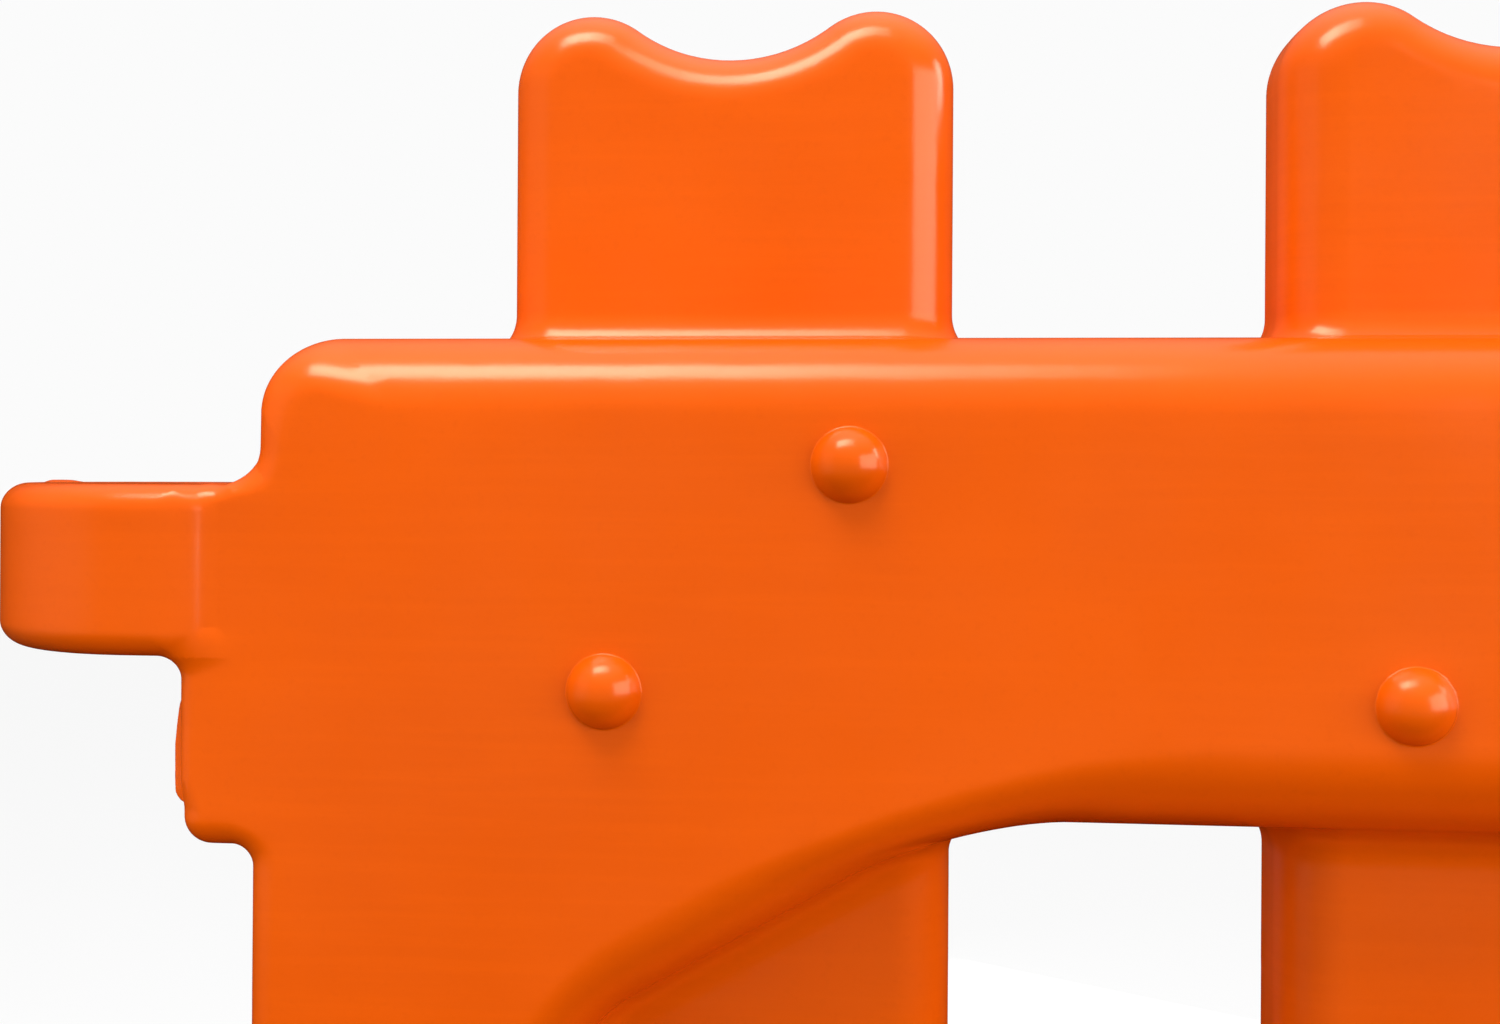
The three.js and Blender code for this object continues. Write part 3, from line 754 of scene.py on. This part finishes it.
OUTWARD = Matrix.Rotation(-math.pi / 2, 4, "X")
for side in ("left", "right"):
    at = centre(f"drain_insert_{side}")
    place = placed(at.x, DRAIN_FLOOR * MM, at.z, OUTWARD)
    fit(f"drain_thread_insert_{side}", f"drain_insert_{side}", insert(DRAIN), place, "shell",
        NYLON, 1.0)
    fit(f"drain_seal_ring_{side}", f"drain_gasket_{side}", seal(DRAIN), place, f"drain_seal_{side}",
        RUBBER, 1.0)
    fit(f"drain_screw_plug_{side}", f"drain_plug_{side}", plug(DRAIN), place, f"drain_plug_{side}",
        BLACK, 1.0)

rod_place = placed(ROD_AXIS.x, ROD_AXIS.y, 0)
fit("link_rod_bar", "link_rod", rod, rod_place, "link_rod", STEEL, 1.6)
fit("rod_stop_collar", "rod_collar", collar, rod_place, "rod_collar", BLACK, 0.8)
fit("link_rod_handle", "rod_handle", handle, placed(*centre("rod_handle")), "link_rod", STEEL, 1.2)

sole = surface(pad, (-PAD_RADIUS, -PAD_RADIUS, 0), (PAD_RADIUS, PAD_RADIUS, PAD_THICK), 1.2, 0.4, 0.04)
for side in ("front", "rear"):
    for i in (1, 2, 3, 4):
        at = centre(f"grip_pad_{side}_{i}")
        piece(f"rubber_pad_{side}_{i}", sole, placed(at.x, at.y, 0), "shell", f"grip_pad_{side}_{i}",
              RUBBER)

# ---------------------------------------------------------------- studio
CAMERA_X = MIDDLE - 0.8043
CAMERA_Y = -0.427
CAMERA_Z = 0.8766
YAW = math.radians(4.8)
ROLL = math.radians(0.35)


def camera():
    data = bpy.data.cameras.new("camera")
    data.lens, data.sensor_width = 36.0, 36.0
    data.shift_y = -0.0253
    data.clip_start = 0.01
    ahead = Vector((-math.sin(YAW), math.cos(YAW), 0))
    right = Vector((math.cos(YAW), math.sin(YAW), 0))
    up = Vector((0, 0, 1))
    along = right * math.cos(ROLL) + up * math.sin(ROLL)
    above = up * math.cos(ROLL) - right * math.sin(ROLL)
    turn = Matrix((along, above, -ahead)).transposed().to_4x4()
    thing = bpy.data.objects.new("camera", data)
    thing.matrix_world = Matrix.Translation((CAMERA_X, CAMERA_Y, CAMERA_Z)) @ turn
    bpy.context.scene.collection.objects.link(thing)
    bpy.context.scene.camera = thing


def softbox(name, at, towards, size, power, mirrored=True):
    """A rectangular lamp. Glossy rays do not see one that is not mirrored."""
    data = bpy.data.lights.new(name, "AREA")
    data.shape, data.size, data.size_y = "RECTANGLE", size[0], size[1]
    data.energy = power
    thing = bpy.data.objects.new(name, data)
    thing.location = at
    thing.rotation_euler = (Vector(towards) - Vector(at)).to_track_quat("-Z", "Y").to_euler()
    thing.visible_glossy = mirrored
    bpy.context.scene.collection.objects.link(thing)
    return thing


def floor():
    """A plain pale floor that runs out of sight."""
    size = 30.0
    data = bpy.data.meshes.new("floor")
    corners = [(-size, -size, 0), (size, -size, 0), (size, size, 0), (-size, size, 0)]
    data.from_pydata(corners, [], [(0, 1, 2, 3)])
    n = Nodes("pale_floor")
    n.finish({
        "Base Color": colour(0.12, 0.12, 0.12), "Roughness": 0.9, "Specular IOR Level": 0.0,
        "Emission Color": colour(1, 1, 1), "Emission Strength": 0.86,
    })
    data.materials.append(n.material)
    thing = bpy.data.objects.new("floor", data)
    thing.visible_diffuse = thing.visible_glossy = False  # the light from below is the world's own
    bpy.context.scene.collection.objects.link(thing)


SKY = ((2, 1.0, 1.45), (0, -1.0, 0.03))


def surroundings():
    """White to look at; as light, bright above and dim elsewhere."""
    world = bpy.data.worlds.new("studio")
    bpy.context.scene.world = world
    world.use_nodes = True
    tree = world.node_tree
    tree.nodes.clear()

    def add(kind, **inputs):
        node = tree.nodes.new(kind)
        for key, value in inputs.items():
            socket = node.inputs[int(key[1:])] if key[0] == "i" and key[1:].isdigit() else node.inputs[key]
            if isinstance(value, bpy.types.NodeSocket):
                tree.links.new(value, socket)
            else:
                socket.default_value = value
        return node

    def math_node(operation, a, b):
        node = add("ShaderNodeMath", i0=a, i1=b)
        node.operation = operation
        return node.outputs[0]

    # each entry lights one half of the sky: axis, sign and strength
    axes = add("ShaderNodeSeparateXYZ", i0=add("ShaderNodeTexCoord").outputs["Generated"]).outputs
    total = 0.0
    for axis, sign, strength in SKY:
        towards = math_node("MAXIMUM", math_node("MULTIPLY", axes[axis], sign), 0.0)
        total = math_node("ADD", total, math_node("MULTIPLY", math_node("POWER", towards, 3.0), strength))
    light = add("ShaderNodeBackground", i0=(1, 1, 1, 1), i1=total)
    seen = add("ShaderNodeBackground", i0=(1, 1, 1, 1), i1=0.965)
    looking = add("ShaderNodeLightPath").outputs["Is Camera Ray"]
    mixed = add("ShaderNodeMixShader", i0=looking, i1=light.outputs[0], i2=seen.outputs[0])
    add("ShaderNodeOutputWorld", i0=mixed.outputs[0])


camera()
floor()
surroundings()
# three overhead strips share their left end, so their mirrored light fades along the rail; none lies in
# another's plane
for i, right_end in enumerate((-0.25, 0.0, 0.3)):
    length = right_end + 0.95
    at = CAMERA_X + right_end - length / 2
    place = (at, -0.66, 2.4 + 0.03 * i)
    softbox(f"overhead_strip_{i + 1}", place, (at, -0.05, 0.9), (length, 0.62), 8.2 * length)
softbox("front_fill", (MIDDLE - 0.3, -1.8, 1.3), (MIDDLE - 0.3, 0, 1.2), (6.0, 2.6), 38, False)
softbox("left_fill", (CAMERA_X - 2.0, -0.6, 1.1), (CAMERA_X, 0, 0.8), (2.0, 2.0), 27, False)
softbox("left_rear", (CAMERA_X - 1.0, 1.75, 1.0), (CAMERA_X, 0, 0.85), (2.0, 2.0), 30, False)
softbox("right_rear", (CAMERA_X + 1.0, 1.75, 1.0), (CAMERA_X, 0, 0.85), (2.0, 2.0), 30, False)
softbox("right_softbox", (MIDDLE + 1.3, -1.3, 1.3), (CAMERA_X, 0, 0.9), (2.4, 1.5), 50)
softbox("right_rim", (MIDDLE + 0.9, 0.15, 1.65), (CAMERA_X, 0, 1.0), (0.5, 0.6), 8)
bpy.context.scene.view_settings.view_transform = "Standard"
